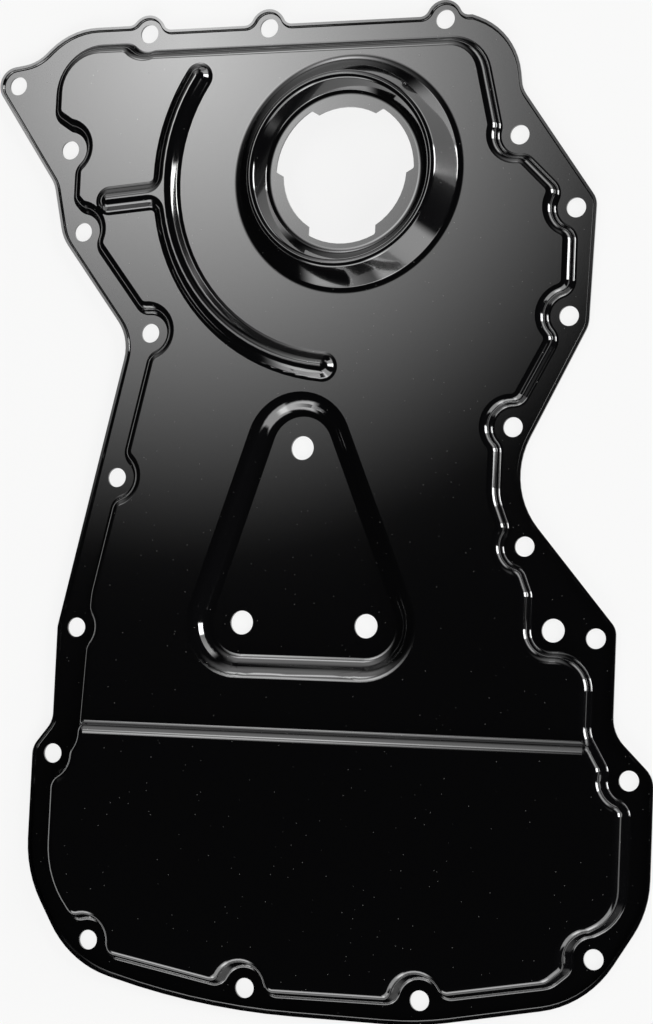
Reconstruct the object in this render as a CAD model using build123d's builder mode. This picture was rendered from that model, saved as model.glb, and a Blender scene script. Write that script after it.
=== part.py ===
"""Pressed steel timing cover for an engine: one deep-drawn sheet with a turned-up rim.

Units are millimetres. The cover lies with its sealing face on z = 0 and its outer face up.
The origin is the middle of its outline, on the sealing face, and +Y points to the filler end.
Bend radii are those of the outer face. The sheet has one thickness all over, so the cover is
the form under its outer face, less the same form worked out for its inner face.
"""
import os
from math import asin, atan2, degrees, dist, radians, tan

from build123d import *

# Sheet
sheet = 1.2

# Drawn body: the upper panel, and the step up to the lower one
panel_height = 5.5
wall_draft = 18
wall_root_bend = 1.5
wall_top_bend = 4.0
step_place = -105.5
step_height = 3.4
step_draft = 40
step_root_bend = 2.0
step_top_bend = 5.5

# Rim turned up round the flange
rim_height = 2.8
rim_bend = 0.8

# Bolts round the flange, and the flat seat that the wall leaves for the head of each
bolt_hole = 9.0
dowel_hole = 10.5
boss_radius = 8.6
boss_blend = 4.5
seat_radius = 8.6
dowel_seat_radius = 9.2
seat_blend = 8.0
top_bolts = [(-90, 223.5), (-29, 223.5), (57.5, 223.5)]
outer_bolts = [(-158, 201), (138.5, -58)]
seated_bolts = [
    (95, 168.5),
    (122.5, 134.5),
    (121, 85.5),
    (97, 35.5),
    (104.5, -18),
    (155.5, -119.5),
    (142.5, -197.5),
    (64, -221),
    (-19.5, -221.5),
    (-98.5, -205),
    (-121.5, -119.5),
    (-112.5, -60),
    (-95.5, 11),
    (-82, 79.5),
    (-119.5, 128.5),
    (-128.5, 168.5),
]
dowel = (119, -55)

# Filler opening with its bayonet, and the ring pressed up round it
opening = (15, 152)
opening_radius = 33.5
bayonet_depth = 3.5
bayonet_slots = 3
bayonet_slot_width = 32.4
bayonet_start = 30
bayonet_corner = 1.5
annulus_height = 3.4
ring_radius = 44.6
ring_height = 8.5
ring_draft = 30
ring_root_bend = 3.5
ring_crest_bend = 3.0
ring_inner_bend = 1.8

# Stiffening rib bent round the ring, clear of the pad, with a spur to the side wall
rib_gap = 5.2
rib_top = 200
rib_end = 265
rib_half_width = 7
rib_height = 4.3
rib_draft = 40
rib_root_bend = 2.5
rib_crest_bend = 4.2
rib_corner = 2.0
spur_start = (-104, 142.2)
spur_rise = 2.2

# Pad sunk back to the level of the flange, round three bolt holes
pad_holes = [(-3, 25.5), (-29, -55.5), (31.5, -55.5)]
pad_hole = 11.0
pad_radius = 14.5
pad_draft = 45
pad_root_bend = 6.0
pad_top_bend = 7.5

# Half the flat kept on the crest of the ring, how near counts as touching, and the most that
# the normal of a wall may rise
crest_flat = 0.1
touch = 0.001
wall_rise = 0.5

# Outline of the flange: each corner with its radius, clockwise from the ear
flange_corners = [
    (-173.7, 207.9, 9),
    (-147.8, 211.5, 20),
    (-130.7, 227.4, 36),
    (-92, 227.4, 2),
    (-88, 224.7, 2),
    (70.9, 224.7, 2),
    (92.4, 216.2, 33),
    (95.9, 189.4, 13),
    (132.3, 138, 9),
    (130.6, 81.3, 12),
    (94.7, 8.9, 37),
    (147.9, -53.5, 8),
    (147.9, -99.2, 17),
    (166.8, -117.6, 12),
    (166.8, -175.1, 46),
    (140.6, -217.4, 48),
    (63.7, -232.4, 150),
    (-40.3, -232.4, 370),
    (-106.9, -215.8, 48),
    (-131.3, -175.1, 56),
    (-131.3, -116.8, 10),
    (-121.6, -104.4, 11),
    (-121.6, -59.9, 8),
    (-92, 77, 22),
    (-129.3, 125.7, 22),
    (-135.1, 151.9, 15),
]

# Outline of the body where its wall starts, before the bolt seats are taken out of it
body_corners = [
    (-137.5, 219.6, 24),
    (-92, 219.6, 0),
    (-88, 215.6, 0),
    (76.7, 215.6, 20),
    (88.1, 168, 0),
    (93, 166.2, 0),
    (123.8, 136, 0),
    (123.8, 86, 0),
    (97.2, 35.5, 0),
    (93, 28.6, 0),
    (93, 4, 20),
    (dowel[0] - dowel_seat_radius, -39, 8),
    (dowel[0] - dowel_seat_radius, dowel[1] - dowel_seat_radius, dowel_seat_radius),
    (138.7, dowel[1] - dowel_seat_radius, 17),
    (138.7, -99.8, 10),
    (148.5, -116.4, 0),
    (157.6, -121, 0),
    (157.6, -181, 23),
    (140, -190, 0),
    (140, -199, 0),
    (124.5, -212.3, 14),
    (57.5, -224.6, 0),
    (-14, -225.6, 0),
    (-97, -211.6, 0),
    (-98.5, -206.5, 0),
    (-122, -178.9, 50),
    (-122, -133, 8),
    (-109.7, -112, 8),
    (-106.8, -44, 30),
    (-80.3, 79.6, 0),
    (-116, 125.1, 0),
    (-117, 134, 0),
    (-125.4, 143, 7),
    (-125.4, 175.5, 0),
    (-137.5, 183.5, 8),
]


def reach(draft):
    """Width that a bend of unit radius takes up on each side of its corner."""
    return tan(radians(45 - draft / 2))


def hollow(bend, skin):
    """Radius of a bend that is hollow on the outer face, at a skin of the sheet."""
    return bend + sheet - skin


def proud(bend, skin):
    """Radius of a bend that is proud on the outer face, at a skin of the sheet."""
    return bend - sheet + skin


def outline(corners):
    """Closed outline with each corner rounded to its own radius."""
    points = [(x, y) for x, y, radius in corners]
    radii = [radius for x, y, radius in corners]
    return FilletPolyline(*points, radius=radii, close=True)


# Sizes that follow from those above: the cover's span and height, the least length of the edges
# that run right across it, and the rib's run
span = 2 * max(abs(place) for *places, radius in flange_corners for place in places)
long_edge = span / 6
tallest = sheet + panel_height + ring_height
pad_slope = panel_height * tan(radians(pad_draft))
pad_reach = pad_radius + pad_slope + (pad_root_bend + pad_top_bend) * reach(pad_draft)
rib_radius = dist(opening, pad_holes[0]) - pad_reach - rib_gap - rib_half_width
rib_start = 180 - degrees(asin((rib_top - opening[1]) / rib_radius))
spur_end = (opening[0] - rib_radius - rib_half_width / 2, spur_start[1] + spur_rise)


def flange_plan():
    """Flange outline, with a round boss at each bolt of the top edge."""
    with BuildSketch() as plan:
        with BuildLine():
            outline(flange_corners)
        make_face()
        with Locations(*top_bolts):
            Circle(boss_radius)
        necks = [
            corner
            for corner in plan.vertices()
            if any(abs(corner.distance_to(Vertex(*place)) - boss_radius) < touch for place in top_bolts)
        ]
        fillet(necks, boss_blend)
    return plan.sketch


def body_plan():
    """Body outline where the wall starts, with a blended round seat for each bolt head."""
    seats = seated_bolts + top_bolts[:1]
    with BuildSketch() as plan:
        with BuildLine():
            outline(body_corners)
        make_face()
        with Locations(*seats):
            Circle(seat_radius, mode=Mode.SUBTRACT)
        corners = [
            corner
            for corner in plan.vertices()
            if any(abs(corner.distance_to(Vertex(*place)) - seat_radius) < touch for place in seats)
        ]
        fillet(corners, seat_blend)
    return plan.sketch


def rib_plan():
    """The bent rib and its spur, as one outline at the feet of their bends."""
    run = [end - start for start, end in zip(spur_start, spur_end)]
    middle = tuple((start + end) / 2 for start, end in zip(spur_start, spur_end))
    with BuildSketch() as plan:
        with BuildLine(mode=Mode.PRIVATE) as path:
            CenterArc(opening, rib_radius, rib_start, rib_end - rib_start)
        SlotArc(path.wire(), 2 * rib_half_width)
        with Locations(middle):
            turn = degrees(atan2(run[1], run[0]))
            SlotCenterToCenter(dist(spur_start, spur_end), 2 * rib_half_width, rotation=turn)
        edge = [
            corner
            for corner in plan.vertices()
            if abs(corner.distance_to(Vertex(*opening)) - rib_radius - rib_half_width) < touch
        ]
        forks = sorted(edge, key=lambda corner: corner.distance_to(Vertex(*spur_end)))[:2]
        fillet(forks, rib_corner)
    return plan.sketch


def pad_plan(radius):
    """Outline drawn tight round circles on the three pad holes."""
    with BuildSketch() as plan:
        with Locations(*pad_holes):
            Circle(radius)
        make_hull()
    return plan.sketch


def bayonet_plan():
    """Filler opening: a round hole with wider slots for the tongues of the cap."""
    with BuildSketch() as plan:
        with Locations(opening):
            with PolarLocations(opening_radius, bayonet_slots, start_angle=bayonet_start):
                Rectangle(2 * opening_radius, bayonet_slot_width)
            Circle(opening_radius, mode=Mode.INTERSECT)
            Circle(opening_radius - bayonet_depth)
        corners = [
            corner
            for corner in plan.vertices()
            if abs(corner.distance_to(Vertex(*opening)) - opening_radius) < touch
        ]
        fillet(corners, bayonet_corner)
    return plan.sketch


def edges_at(part, level):
    """Edges that lie flat at one level."""
    def lies_flat(edge):
        box = edge.bounding_box()
        return abs(box.min.Z - level) < touch and abs(box.max.Z - level) < touch

    return part.edges().filter_by(lies_flat)


def flat_face(part, level):
    """The largest flat face at one level."""
    flats = part.faces().filter_by(Plane.XY)
    return flats.filter_by(lambda face: abs(face.center().Z - level) < touch).sort_by(SortBy.AREA)[-1]


def foot(part, level, place):
    """Edges of the loop, in the flat face at one level, that runs nearest to a place."""
    spot = Vertex(*place, level)
    return min(flat_face(part, level).inner_wires(), key=lambda loop: loop.distance_to(spot)).edges()


def ramp_edges(part):
    """Long straight edges across the step, from the lowest to the highest."""
    near = step_height * tan(radians(step_draft))
    across = part.edges().filter_by(Axis.X).filter_by(lambda edge: edge.length > long_edge)
    return across.filter_by(lambda edge: abs(edge.center().Y - step_place) < near).sort_by(Axis.Z)


def drafted(plan, level, height, draft_angle, root):
    """Solid raised on a plan. Its foot bend, of radius root, starts on the plan's outline."""
    with BuildPart() as raised:
        with BuildSketch(Plane.XY.offset(level)):
            add(plan)
        extrude(amount=height)
        walls = raised.faces().filter_by(lambda face: abs(face.normal_at().Z) < wall_rise)
        depth = root * reach(draft_angle) / tan(radians(draft_angle))
        draft(walls, Plane.XY.offset(level - depth), draft_angle)
    return raised.part


def rib_solid(skin):
    """Solid under the bent rib and its spur, with their crests rounded."""
    panel = skin + panel_height
    with BuildPart() as ribs:
        add(drafted(rib_plan(), panel, rib_height, rib_draft, hollow(rib_root_bend, skin)))
        fillet(edges_at(ribs, panel + rib_height), proud(rib_crest_bend, skin))
    return ribs.part


def ring_solid(skin):
    """Turned solid under the ring and the annulus inside it, with their bends."""
    panel = skin + panel_height
    slope = tan(radians(ring_draft))
    half_crest = crest_flat + proud(ring_crest_bend, skin) * reach(ring_draft)
    outer = ring_radius + half_crest
    inner = ring_radius - half_crest
    with BuildPart() as ring:
        with BuildSketch(Plane(origin=(*opening, 0), x_dir=(1, 0, 0), z_dir=(0, -1, 0))):
            with BuildLine():
                Polyline(
                    (0, panel - sheet),
                    (outer + (ring_height + sheet) * slope, panel - sheet),
                    (outer, panel + ring_height),
                    (inner, panel + ring_height),
                    (inner - (ring_height - annulus_height) * slope, panel + annulus_height),
                    (0, panel + annulus_height),
                    close=True,
                )
            make_face()
        revolve(axis=Axis((*opening, 0), (0, 0, 1)))
        fillet(edges_at(ring, panel + ring_height), proud(ring_crest_bend, skin))
        fillet(edges_at(ring, panel + annulus_height), hollow(ring_inner_bend, skin))
    return ring.part


def pad_cut(skin):
    """Tool that sinks the pad to the level of the flange, wider toward the panel."""
    radius = pad_radius + hollow(pad_root_bend, skin) * reach(pad_draft)
    with BuildPart() as cut:
        with BuildSketch(Plane.XY.offset(skin)):
            add(pad_plan(radius))
        with BuildSketch(Plane.XY.offset(skin + panel_height)):
            add(pad_plan(radius + pad_slope))
        loft(ruled=True)
        fillet(edges_at(cut, skin), hollow(pad_root_bend, skin))
    return cut.part


def step_cut(skin):
    """Tool that takes the upper panel down from the level of the lower one."""
    panel = skin + panel_height
    run = step_height * tan(radians(step_draft))
    with BuildPart() as cut:
        with BuildSketch(Plane.YZ):
            with BuildLine():
                Polyline(
                    (span, panel),
                    (step_place + run / 2, panel),
                    (step_place - run / 2, panel + step_height),
                    (step_place - run, panel + 2 * step_height),
                    (span, panel + 2 * step_height),
                    close=True,
                )
            make_face()
        extrude(amount=span, both=True)
    return cut.part


def press_form(skin):
    """Solid under one skin of the sheet: 0 is the inner face, the sheet's thickness the outer."""
    panel = skin + panel_height
    raised = panel_height + step_height
    with BuildPart() as form:
        with BuildSketch(Plane.XY.offset(skin)):
            Rectangle(2 * span, 2 * span)
        extrude(amount=-2 * sheet)
        add(drafted(body_plan(), skin, raised, wall_draft, hollow(wall_root_bend, skin)))
        fillet(foot(form, skin, opening), hollow(wall_root_bend, skin))
        add(step_cut(skin), mode=Mode.SUBTRACT)
        fillet(ramp_edges(form)[0], hollow(step_root_bend, skin))
        fillet(ramp_edges(form)[-1], proud(step_top_bend, skin))
        top = form.edges().filter_by(lambda edge: edge.bounding_box().min.Z > panel - touch)
        across = top.filter_by(Axis.X).filter_by(lambda edge: edge.length > long_edge and edge.center().Y < 0)
        fillet([edge for edge in top if edge not in across], proud(wall_top_bend, skin))
        add(rib_solid(skin))
        fillet(foot(form, panel, spur_end), hollow(rib_root_bend, skin))
        add(ring_solid(skin))
        fillet(foot(form, panel, opening), hollow(ring_root_bend, skin))
        add(pad_cut(skin), mode=Mode.SUBTRACT)
        fillet(foot(form, panel, pad_holes[0]), proud(pad_top_bend, skin))
    return form.part


flange = flange_plan()
with BuildPart() as timing_cover:
    with BuildSketch():
        add(flange)
    extrude(amount=tallest)
    add(press_form(sheet), mode=Mode.INTERSECT)
    with BuildSketch():
        add(flange)
        offset(flange, amount=-sheet, mode=Mode.SUBTRACT)
    extrude(amount=rim_height)
    fillet(flat_face(timing_cover, sheet).outer_wire().edges(), rim_bend)
    fillet(edges_at(timing_cover, 0), rim_bend + sheet)
    add(press_form(0), mode=Mode.SUBTRACT)
    with BuildSketch():
        with Locations(*top_bolts, *outer_bolts, *seated_bolts):
            Circle(bolt_hole / 2)
        with Locations(dowel):
            Circle(dowel_hole / 2)
        with Locations(*pad_holes):
            Circle(pad_hole / 2)
        add(bayonet_plan())
    extrude(amount=tallest, mode=Mode.SUBTRACT)
timing_cover.part.label = "timing_cover"

os.makedirs("parts", exist_ok=True)
export_step(timing_cover.part, "parts/timing_cover.step")
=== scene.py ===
"""Dresses the pressed steel timing cover as one glossy black coated sheet on a pale floor."""
from math import cos, hypot, inf, pi, radians, sin, tan

import bmesh
import bpy
from bpy.props import FloatProperty, PointerProperty, StringProperty
from mathutils import Euler, Matrix, Vector
from mathutils.kdtree import KDTree


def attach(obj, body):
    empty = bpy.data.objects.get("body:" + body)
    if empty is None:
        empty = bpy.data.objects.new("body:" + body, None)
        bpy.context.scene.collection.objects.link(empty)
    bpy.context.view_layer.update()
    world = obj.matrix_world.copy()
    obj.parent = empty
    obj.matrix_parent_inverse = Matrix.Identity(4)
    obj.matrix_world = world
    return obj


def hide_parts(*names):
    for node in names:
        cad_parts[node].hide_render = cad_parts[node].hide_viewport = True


bl_info = {
    "name": "Pressed Timing Cover",
    "version": (1, 0, 0),
    "blender": (4, 5, 0),
    "location": "View3D > Sidebar > Timing Cover",
    "description": "Finishes a pressed steel timing cover and lights it on a pale floor",
    "category": "Object",
}

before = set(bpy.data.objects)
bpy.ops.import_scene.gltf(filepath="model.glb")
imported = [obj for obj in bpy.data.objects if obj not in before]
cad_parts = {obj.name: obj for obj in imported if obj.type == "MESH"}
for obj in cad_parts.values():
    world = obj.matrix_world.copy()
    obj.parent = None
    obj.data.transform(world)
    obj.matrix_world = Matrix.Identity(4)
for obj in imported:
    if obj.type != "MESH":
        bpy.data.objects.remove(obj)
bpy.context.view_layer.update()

MM = 0.001
COVER = "timing_cover"
BODY = "root"

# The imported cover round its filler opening: its sheet, the axis of the opening, the tops of its flats,
# and radii that tell the low ring and the annulus from the rest
SHEET = 1.2 * MM
OPENING = Vector((15.0, 152.0, 0.0)) * MM
PANEL_TOP = 6.7 * MM
ANNULUS_TOP = 10.1 * MM
CAD_RING_REACH = 53.45 * MM
CAD_RING_HOLLOW = 36.5 * MM
CAD_ANNULUS_REACH = 45.0 * MM

# Both faces of the sheet: the depth of each under the outer one, and whether it faces up or down
SKINS = ((0.0, 1), (SHEET, -1))

# Steps of the ring round its axis, and of each bend in its section
RING_STEPS = 288
BEND_STEPS = 14

# Vertices this close are one, and heights this close are level
WELD = 0.0001 * MM
LEVEL = 0.02 * MM

# Orange peel of the coating: how much it shows, and how deep it is
PEEL_STRENGTH = 0.05
PEEL_DEPTH = 0.02 * MM

# Radius of a dust speck, as a share of the spacing: where it starts to fade, and where it ends. Real
# dust is finer, and this is as coarse as it takes to show.
SPECK_CORE = 0.03
SPECK_EDGE = 0.055

# Floor: its width, how far it lies under the cover, and how much of what the camera and reflections
# see of it is plain white, without shadow
FLOOR_SIZE = 60.0
FLOOR_DROP = 0.2 * MM
WHITE_SHARE = 0.85

# How fast a glow fades from its middle, and the strength of the wide front box and of the haze on the
# right as shares of the levels of the other front box and the right box
GLOW_FADE = 1.6
WIDE_FRONT_SHARE = 1.5
RIGHT_HAZE_SHARE = 0.18

# Camera of the photograph: its place, its turn about X, Y and Z in degrees, and its lens in millimetres
CAMERA_PLACE = Vector((429.2, -102.7, 1157.9)) * MM
CAMERA_TURN = (5.492, 19.696, 2.65)
CAMERA_LENS = 94.9
CAMERA_SENSOR = 36.0


def linear(hex_colour):
    """sRGB hex to linear red, green, blue and alpha."""
    channels = [int(hex_colour[i:i + 2], 16) / 255 for i in (1, 3, 5)]
    return tuple(c / 12.92 if c <= 0.04045 else ((c + 0.055) / 1.055) ** 2.4 for c in channels) + (1.0,)


def add_node(tree, kind, settings=None, links=None):
    """Adds one node, sets its properties and sockets, and links its inputs."""
    node = tree.nodes.new(kind)
    for key, value in (settings or {}).items():
        if isinstance(key, str) and hasattr(node, key):
            setattr(node, key, value)
        else:
            node.inputs[key].default_value = value
    for socket, source in (links or {}).items():
        tree.links.new(source, node.inputs[socket])
    return node


def fresh_tree(owner):
    """Empties the node tree of a material or world."""
    owner.use_nodes = True
    owner.node_tree.nodes.clear()
    return owner.node_tree


class RingShape(bpy.types.PropertyGroup):
    """Section of the pressed ring round the filler opening, measured on its outer face."""

    reach: FloatProperty(
        name="Reach", description="Radius where the panel begins to rise to the ring",
        default=56.1 * MM, min=54.0 * MM, max=58.0 * MM, precision=4, subtype="DISTANCE",
    )
    crest_radius: FloatProperty(
        name="Crest radius", description="Radius of the ring's crest",
        default=43.8 * MM, min=42.0 * MM, precision=4, subtype="DISTANCE",
    )
    inner_reach: FloatProperty(
        name="Inner reach", description="Radius where the annulus begins to rise to the ring",
        default=35.6 * MM, min=34.0 * MM, max=36.0 * MM, precision=4, subtype="DISTANCE",
    )
    outer_slope: FloatProperty(
        name="Outer slope", description="Slope of the outer wall from level",
        default=radians(54.5), min=radians(20.0), max=radians(80.0), subtype="ANGLE",
    )
    inner_slope: FloatProperty(
        name="Inner slope", description="Slope of the inner wall from level",
        default=radians(57.9), min=radians(20.0), max=radians(80.0), subtype="ANGLE",
    )
    lead_slope: FloatProperty(
        name="Lead-in slope", description="Slope at the end of both soft lead-ins",
        default=radians(11.0), min=radians(1.0), subtype="ANGLE",
    )
    outer_lead: FloatProperty(
        name="Outer lead-in", description="Radius of the soft lead-in from the panel",
        default=13.0 * MM, min=1.0 * MM, precision=4, subtype="DISTANCE",
    )
    inner_lead: FloatProperty(
        name="Inner lead-in", description="Radius of the soft lead-in from the annulus",
        default=10.0 * MM, min=1.0 * MM, precision=4, subtype="DISTANCE",
    )
    root_bend: FloatProperty(
        name="Root bend", description="Radius of the bends at both roots",
        default=1.1 * MM, min=0.2 * MM, precision=4, subtype="DISTANCE",
    )
    crest_bend: FloatProperty(
        name="Crest bend", description="Radius of the bend at the crest",
        default=2.4 * MM, min=1.3 * MM, precision=4, subtype="DISTANCE",
    )


class CoverFinish(bpy.types.PropertyGroup):
    """Sizes and colours of the coating."""

    coat_colour: StringProperty(
        name="Coat colour", description="sRGB colour of the coating", default="#070708"
    )
    dust_colour: StringProperty(
        name="Dust colour", description="sRGB colour of the dust that lies on the coating", default="#8C8C8A"
    )
    roughness: FloatProperty(
        name="Roughness", description="Roughness of the coating", default=0.09, min=0.0, max=1.0,
        subtype="FACTOR",
    )
    ripple: FloatProperty(
        name="Ripple width", description="Width of one ripple of the orange peel in the coating",
        default=2.4 * MM, min=0.2 * MM, precision=4, subtype="DISTANCE",
    )
    dust_spacing: FloatProperty(
        name="Dust spacing", description="Mean distance between dust specks",
        default=3.6 * MM, min=0.5 * MM, precision=4, subtype="DISTANCE",
    )


class StudioLight(bpy.types.PropertyGroup):
    """Colour of the floor and strength of the lights in the room."""

    floor_colour: StringProperty(
        name="Floor colour", description="sRGB colour of the floor", default="#F4F4F2"
    )
    glow_level: FloatProperty(
        name="Glows", description="Strength of the two soft glows overhead, behind the filler opening",
        default=6.3, min=0.0,
    )
    back_level: FloatProperty(
        name="Back soft box", description="Strength of the weak soft box behind the filler opening",
        default=1.2, min=0.0,
    )
    right_level: FloatProperty(
        name="Right soft box", description="Strength of the narrow soft box on the right and its haze",
        default=16.0, min=0.0,
    )
    front_level: FloatProperty(
        name="Front soft boxes", description="Strength of the two soft boxes in front", default=2.6, min=0.0
    )
    room_level: FloatProperty(
        name="Room", description="Strength of the room round the lights", default=0.006, min=0.0
    )


def off_axis(vertex):
    """Distance of a vertex from the filler opening's axis."""
    return hypot(vertex.co.x - OPENING.x, vertex.co.y - OPENING.y)


def is_level(item, height):
    """Whether the whole of an edge or face lies at one height."""
    return all(abs(vertex.co.z - height) < LEVEL for vertex in item.verts)


def arc(centre, radius, start, end):
    """Points of a bend in the section, each with its direction from the bend's centre."""
    points = []
    for step in range(BEND_STEPS + 1):
        angle = start + (end - start) * step / BEND_STEPS
        out, up = cos(angle), sin(angle)
        points.append((centre[0] + radius * out, centre[1] + radius * up, out, up))
    return points


def flank(ring, reach, lead, slope, side):
    """One flank of the ring's section, which rises from a flat to the crest.

    Gives the centres of the lead-in and of the root bend, and the height of the crest bend's centre,
    all from the flat. The side is 1 for the flank away from the axis and -1 for the one towards it.
    """
    soft = ring.lead_slope
    root_radius = reach - side * (lead - ring.root_bend) * sin(soft)
    root_height = lead - (lead - ring.root_bend) * cos(soft)
    run = side * (root_radius - ring.crest_radius) - (ring.root_bend + ring.crest_bend) * sin(slope)
    rise = root_height + run * tan(slope) - (ring.root_bend + ring.crest_bend) * cos(slope)
    return (reach, lead), (root_radius, root_height), rise


def ring_section(ring, depth):
    """Section of the ring from the panel to the annulus, at a depth under the outer face.

    Each point is a radius, a height over the panel, and the outer face's normal in the section. The
    annulus's height over the panel comes second.
    """
    soft, outer, inner = ring.lead_slope, ring.outer_slope, ring.inner_slope
    outer_lead, outer_root, top = flank(ring, ring.reach, ring.outer_lead, outer, 1)
    inner_lead, inner_root, drop = flank(ring, ring.inner_reach, ring.inner_lead, inner, -1)
    annulus = top - drop
    inner_lead, inner_root = [(radius, height + annulus) for radius, height in (inner_lead, inner_root)]
    down, up = -pi / 2, pi / 2
    hollows = [
        arc(outer_lead, ring.outer_lead + depth, down, down - soft),
        arc(outer_root, ring.root_bend + depth, down - soft, down - outer),
        arc(inner_root, ring.root_bend + depth, down + inner, down + soft),
        arc(inner_lead, ring.inner_lead + depth, down + soft, down),
    ]
    hollows = [[(x, y, -nx, -ny) for x, y, nx, ny in points] for points in hollows]
    crest = arc((ring.crest_radius, top), ring.crest_bend - depth, up - outer, up + inner)
    section = hollows[0] + hollows[1][1:] + crest + hollows[2] + hollows[3][1:]
    return section, annulus


def read_sheet(packed):
    """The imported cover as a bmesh, with the normal of each face corner kept in a layer."""
    sheet = bmesh.new()
    sheet.from_mesh(packed)
    kept_normals = sheet.loops.layers.float_vector.new("kept_normal")
    corners = iter(packed.corner_normals)
    for face in sheet.faces:
        for loop in face.loops:
            loop[kept_normals] = next(corners).vector
    bmesh.ops.remove_doubles(sheet, verts=sheet.verts, dist=WELD)
    return sheet, kept_normals


def cut_ring(sheet):
    """Takes out the low ring, and the flats beside it, which are filled again round the new one."""
    gone = []
    for face in sheet.faces:
        radii = [off_axis(vertex) for vertex in face.verts]
        panel = any(is_level(face, PANEL_TOP - depth) for depth, _ in SKINS)
        annulus = max(radii) < CAD_ANNULUS_REACH and any(
            is_level(face, ANNULUS_TOP - depth) for depth, _ in SKINS
        )
        ring = max(radii) < CAD_RING_REACH and min(radii) > CAD_RING_HOLLOW
        if panel or annulus or ring:
            gone.append(face)
    bmesh.ops.delete(sheet, geom=gone, context="FACES")


def lift_rim(sheet, rise):
    """Moves the rim of the filler opening up to the new annulus."""
    for vertex in sheet.verts:
        if off_axis(vertex) < CAD_RING_HOLLOW:
            vertex.co.z += rise


def turned_normal(vertex, section, places, facing):
    """Normal at a vertex of the turned ring, from the nearest point of its section."""
    radius = off_axis(vertex)
    nearest = places.find((radius, vertex.co.z, 0))[1]
    out, up = (facing * part for part in section[nearest][2:])
    away = vertex.co - OPENING
    return Vector((out * away.x / radius, out * away.y / radius, up))


def turn_ring(sheet, kept_normals, ring, depth, facing):
    """Spins the ring's section round the opening's axis, for one face of the sheet."""
    section = ring_section(ring, depth)[0]
    foot = OPENING + Vector((0, 0, PANEL_TOP))
    points = [sheet.verts.new(foot + Vector((radius, 0, height))) for radius, height, *_ in section]
    edges = [sheet.edges.new(pair) for pair in zip(points, points[1:])]
    before = set(sheet.faces)
    bmesh.ops.spin(
        sheet, geom=points + edges, cent=OPENING, axis=(0, 0, 1), angle=2 * pi, steps=RING_STEPS,
        use_merge=True,
    )
    places = KDTree(len(section))
    for index, (radius, height, *_) in enumerate(section):
        places.insert((radius, PANEL_TOP + height, 0), index)
    places.balance()
    for face in [face for face in sheet.faces if face not in before]:
        normals = {vertex: turned_normal(vertex, section, places, facing) for vertex in face.verts}
        face.normal_update()
        if face.normal.dot(sum(normals.values(), Vector())) < 0:
            face.normal_flip()
        for loop in face.loops:
            loop[kept_normals] = normals[loop.vert]


def fill_level(sheet, kept_normals, height, facing, within=inf):
    """Fills the flat between the open edges at one height, within a radius of the opening's axis."""
    edges = [
        edge for edge in sheet.edges
        if edge.is_boundary and is_level(edge, height)
        and all(off_axis(vertex) < within for vertex in edge.verts)
    ]
    up = Vector((0, 0, facing))
    made = bmesh.ops.triangle_fill(sheet, edges=edges, use_beauty=True, use_dissolve=False, normal=up)
    for face in [item for item in made["geom"] if isinstance(item, bmesh.types.BMFace)]:
        face.normal_update()
        if face.normal.dot(up) < 0:
            face.normal_flip()
        for loop in face.loops:
            loop[kept_normals] = up


def write_sheet(sheet):
    """Mesh of the finished sheet, smooth, with the normals that its layer kept."""
    for face in sheet.faces:
        face.smooth = True
        face.material_index = 0
    mesh = bpy.data.meshes.new("pressed_cover")
    sheet.to_mesh(mesh)
    sheet.free()
    corners = mesh.attributes["kept_normal"].data
    mesh.normals_split_custom_set([corner.vector.normalized() for corner in corners])
    mesh.attributes.remove(mesh.attributes["kept_normal"])
    return mesh


def coat_material(finish):
    """Electrocoated sheet steel.

    The hard black film mirrors its surroundings sharply. Its orange peel, at the real width of a
    ripple, makes the edges of reflections waver, and grey specks of dust keep it from looking wet.
    """
    material = bpy.data.materials.new("electrocoated_steel")
    tree = fresh_tree(material)
    place = add_node(tree, "ShaderNodeTexCoord").outputs["Object"]
    ripple = add_node(
        tree, "ShaderNodeTexNoise", {"Scale": 1 / finish.ripple, "Detail": 1.0, "Roughness": 0.4},
        {"Vector": place},
    )
    bump = add_node(
        tree, "ShaderNodeBump", {"Strength": PEEL_STRENGTH, "Distance": PEEL_DEPTH},
        {"Height": ripple.outputs["Fac"]},
    )
    specks = add_node(
        tree, "ShaderNodeTexVoronoi",
        {"feature": "F1", "Scale": 1 / finish.dust_spacing, "Randomness": 1.0}, {"Vector": place},
    )
    speck = add_node(
        tree, "ShaderNodeMapRange", {"From Min": SPECK_EDGE, "From Max": SPECK_CORE},
        {"Value": specks.outputs["Distance"]},
    )
    colour = add_node(
        tree, "ShaderNodeMix",
        {"data_type": "RGBA", 6: linear(finish.coat_colour), 7: linear(finish.dust_colour)},
        {0: speck.outputs["Result"]},
    )
    surface = add_node(
        tree, "ShaderNodeBsdfPrincipled",
        {"Roughness": finish.roughness, "IOR": 1.5, "Coat Weight": 1.0, "Coat IOR": 1.6,
         "Coat Roughness": 0.03},
        {"Base Color": colour.outputs[2], "Normal": bump.outputs["Normal"],
         "Coat Normal": bump.outputs["Normal"]},
    )
    add_node(tree, "ShaderNodeOutputMaterial", links={"Surface": surface.outputs["BSDF"]})
    return material


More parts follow.
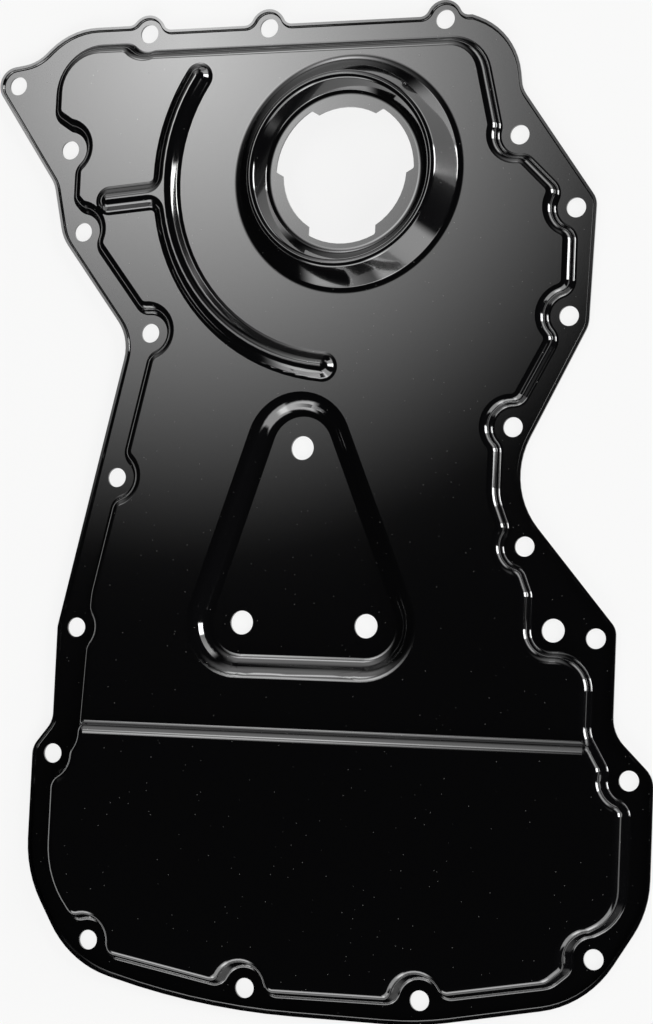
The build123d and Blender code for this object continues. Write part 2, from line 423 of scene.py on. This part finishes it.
def floor_material(studio):
    """Seamless paper.

    It is matt, so it keeps the soft shadow, and what the camera and reflections see of it is mostly
    plain white, so the cover stands on the photograph's white ground.
    """
    material = bpy.data.materials.new("seamless_paper")
    tree = fresh_tree(material)
    path = add_node(tree, "ShaderNodeLightPath")
    seen = path.outputs["Is Camera Ray"]
    for ray in ("Is Glossy Ray", "Is Transmission Ray"):
        either = add_node(
            tree, "ShaderNodeMath", {"operation": "MAXIMUM"}, {0: seen, 1: path.outputs[ray]}
        )
        seen = either.outputs[0]
    share = add_node(tree, "ShaderNodeMath", {"operation": "MULTIPLY", 1: WHITE_SHARE}, {0: seen})
    paper = add_node(tree, "ShaderNodeBsdfDiffuse", {"Color": linear(studio.floor_colour)})
    white = add_node(tree, "ShaderNodeEmission", {"Color": linear("#FFFFFF"), "Strength": 1.0})
    mix = add_node(
        tree, "ShaderNodeMixShader", links={0: share.outputs[0], 1: paper.outputs[0], 2: white.outputs[0]}
    )
    add_node(tree, "ShaderNodeOutputMaterial", links={"Surface": mix.outputs[0]})
    return material


def direction(azimuth, elevation):
    """Unit vector at an azimuth from +X and an elevation, in degrees."""
    level = cos(radians(elevation))
    return Vector((level * cos(radians(azimuth)), level * sin(radians(azimuth)), sin(radians(elevation))))


def glow(tree, look, azimuth, elevation, reach, level):
    """Round light in the room, brightest in the middle; its place and reach are angles in degrees."""
    middle = direction(azimuth, elevation)
    toward = add_node(tree, "ShaderNodeVectorMath", {"operation": "DOT_PRODUCT", 1: middle}, {0: look})
    away = add_node(tree, "ShaderNodeMath", {"operation": "ARCCOSINE"}, {0: toward.outputs["Value"]})
    near = add_node(
        tree, "ShaderNodeMapRange", {"From Min": radians(reach), "From Max": 0.0},
        {"Value": away.outputs[0]},
    )
    fade = add_node(tree, "ShaderNodeMath", {"operation": "POWER", 1: GLOW_FADE}, {0: near.outputs[0]})
    light = add_node(tree, "ShaderNodeMath", {"operation": "MULTIPLY", 1: level}, {0: fade.outputs[0]})
    return light.outputs[0]


def soft_box(tree, look, azimuth, elevation, width, height, edge, level):
    """Rectangular light in the room with soft edges; its place and sizes are angles in degrees."""
    ahead = direction(azimuth, elevation)
    across = Vector((-sin(radians(azimuth)), cos(radians(azimuth)), 0))
    front = add_node(tree, "ShaderNodeVectorMath", {"operation": "DOT_PRODUCT", 1: ahead}, {0: look})
    window = add_node(
        tree, "ShaderNodeMath", {"operation": "GREATER_THAN", 1: 0.0}, {0: front.outputs["Value"]}
    )
    for axis, half in ((across, width / 2), (ahead.cross(across), height / 2)):
        along = add_node(tree, "ShaderNodeVectorMath", {"operation": "DOT_PRODUCT", 1: axis}, {0: look})
        away = add_node(tree, "ShaderNodeMath", {"operation": "ABSOLUTE"}, {0: along.outputs["Value"]})
        inside = add_node(
            tree, "ShaderNodeMapRange",
            {"interpolation_type": "SMOOTHSTEP", "From Min": sin(radians(half + edge)),
             "From Max": sin(radians(half - edge))},
            {"Value": away.outputs[0]},
        )
        window = add_node(
            tree, "ShaderNodeMath", {"operation": "MULTIPLY"},
            {0: window.outputs[0], 1: inside.outputs[0]},
        )
    light = add_node(tree, "ShaderNodeMath", {"operation": "MULTIPLY", 1: level}, {0: window.outputs[0]})
    return light.outputs[0]


def room_world(studio):
    """Dark room with the soft lights that the cover mirrors.

    The glows make the sheen of the upper panel. The back box lights the bends that face the top edge,
    such as those of the step and of the pad's lower wall, and the front boxes those that face the
    bottom edge. The right box and its haze light the steep walls that face right.
    """
    world = bpy.data.worlds.new("studio_room")
    tree = fresh_tree(world)
    look = add_node(tree, "ShaderNodeTexCoord").outputs["Generated"]
    glow_level, right_level, front_level = studio.glow_level, studio.right_level, studio.front_level
    wide_front_level = front_level * WIDE_FRONT_SHARE
    haze_level = right_level * RIGHT_HAZE_SHARE
    lights = [
        glow(tree, look, azimuth=147.3, elevation=62.8, reach=11.0, level=glow_level),
        glow(tree, look, azimuth=124, elevation=51, reach=9.5, level=glow_level),
        soft_box(
            tree, look, azimuth=118, elevation=34, width=34, height=44, edge=14, level=studio.back_level
        ),
        soft_box(
            tree, look, azimuth=-100, elevation=18, width=60, height=22, edge=6, level=wide_front_level
        ),
        soft_box(tree, look, azimuth=17, elevation=12, width=20, height=28, edge=2, level=right_level),
        soft_box(tree, look, azimuth=48, elevation=10, width=44, height=24, edge=8, level=haze_level),
        soft_box(tree, look, azimuth=-60, elevation=20, width=47, height=46, edge=4, level=front_level),
    ]
    total = add_node(tree, "ShaderNodeMath", {"operation": "ADD", 1: studio.room_level}, {0: lights[0]})
    for light in lights[1:]:
        total = add_node(
            tree, "ShaderNodeMath", {"operation": "ADD"}, {0: total.outputs[0], 1: light}
        )
    sky = add_node(
        tree, "ShaderNodeBackground", {"Color": linear("#FFFFFF")}, {"Strength": total.outputs[0]}
    )
    add_node(tree, "ShaderNodeOutputWorld", links={"Surface": sky.outputs[0]})
    bpy.context.scene.world = world


def add_camera(scene):
    """Camera at the photograph's place, with its lens."""
    camera = bpy.data.objects.new("camera", bpy.data.cameras.new("camera"))
    turn = Euler([radians(angle) for angle in CAMERA_TURN])
    camera.matrix_world = Matrix.LocRotScale(CAMERA_PLACE, turn, None)
    camera.data.sensor_width = CAMERA_SENSOR
    camera.data.lens = CAMERA_LENS
    scene.collection.objects.link(camera)
    scene.camera = camera


class COVER_OT_press(bpy.types.Operator):
    """Remakes the pressed cover with the ring round its filler opening as high as the photograph shows"""

    bl_idname = "timing_cover.press_cover"
    bl_label = "Press the cover"

    def execute(self, context):
        ring = context.scene.ring_shape
        annulus_top = PANEL_TOP + ring_section(ring, 0.0)[1]
        sheet, kept_normals = read_sheet(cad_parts[COVER].data)
        cut_ring(sheet)
        lift_rim(sheet, annulus_top - ANNULUS_TOP)
        for depth, facing in SKINS:
            turn_ring(sheet, kept_normals, ring, depth, facing)
            fill_level(sheet, kept_normals, PANEL_TOP - depth, facing)
            fill_level(sheet, kept_normals, annulus_top - depth, facing, CAD_ANNULUS_REACH)
        cover = bpy.data.objects.new("pressed_cover", write_sheet(sheet))
        context.scene.collection.objects.link(cover)
        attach(cover, BODY)
        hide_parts(COVER)
        return {"FINISHED"}


class COVER_OT_finish(bpy.types.Operator):
    """Gives the pressed cover its glossy black coating"""

    bl_idname = "timing_cover.finish_cover"
    bl_label = "Finish the cover"

    def execute(self, context):
        bpy.data.objects["pressed_cover"].data.materials.append(coat_material(context.scene.cover_finish))
        return {"FINISHED"}


class COVER_OT_stage(bpy.types.Operator):
    """Adds the pale floor, the room with its lights, and the camera"""

    bl_idname = "timing_cover.set_stage"
    bl_label = "Set the stage"

    def execute(self, context):
        studio = context.scene.studio_light
        bpy.ops.mesh.primitive_plane_add(size=FLOOR_SIZE, location=(0, 0, -FLOOR_DROP))
        floor = context.object
        floor.name = "floor"
        floor.data.materials.append(floor_material(studio))
        room_world(studio)
        add_camera(context.scene)
        context.scene.view_settings.view_transform = "Standard"
        return {"FINISHED"}


class COVER_PT_panel(bpy.types.Panel):
    """Lists the steps and their settings"""

    bl_label = "Timing Cover"
    bl_idname = "COVER_PT_panel"
    bl_space_type = "VIEW_3D"
    bl_region_type = "UI"
    bl_category = "Timing Cover"

    def draw(self, context):
        for group in (context.scene.ring_shape, context.scene.cover_finish, context.scene.studio_light):
            for name in group.__annotations__:
                self.layout.prop(group, name)
        for operator in (COVER_OT_press, COVER_OT_finish, COVER_OT_stage):
            self.layout.operator(operator.bl_idname)


CLASSES = (
    RingShape, CoverFinish, StudioLight, COVER_OT_press, COVER_OT_finish, COVER_OT_stage, COVER_PT_panel,
)


def register():
    for cls in CLASSES:
        bpy.utils.register_class(cls)
    bpy.types.Scene.ring_shape = PointerProperty(type=RingShape)
    bpy.types.Scene.cover_finish = PointerProperty(type=CoverFinish)
    bpy.types.Scene.studio_light = PointerProperty(type=StudioLight)


def unregister():
    del bpy.types.Scene.studio_light
    del bpy.types.Scene.cover_finish
    del bpy.types.Scene.ring_shape
    for cls in reversed(CLASSES):
        bpy.utils.unregister_class(cls)


def clear_default_scene():
    """Removes what Blender's start-up file holds."""
    for name in ("Cube", "Light", "Camera"):
        if name in bpy.data.objects:
            bpy.data.objects.remove(bpy.data.objects[name])


def main():
    register()
    clear_default_scene()
    bpy.ops.timing_cover.press_cover()
    bpy.ops.timing_cover.finish_cover()
    bpy.ops.timing_cover.set_stage()


if __name__ == "__main__":
    main()
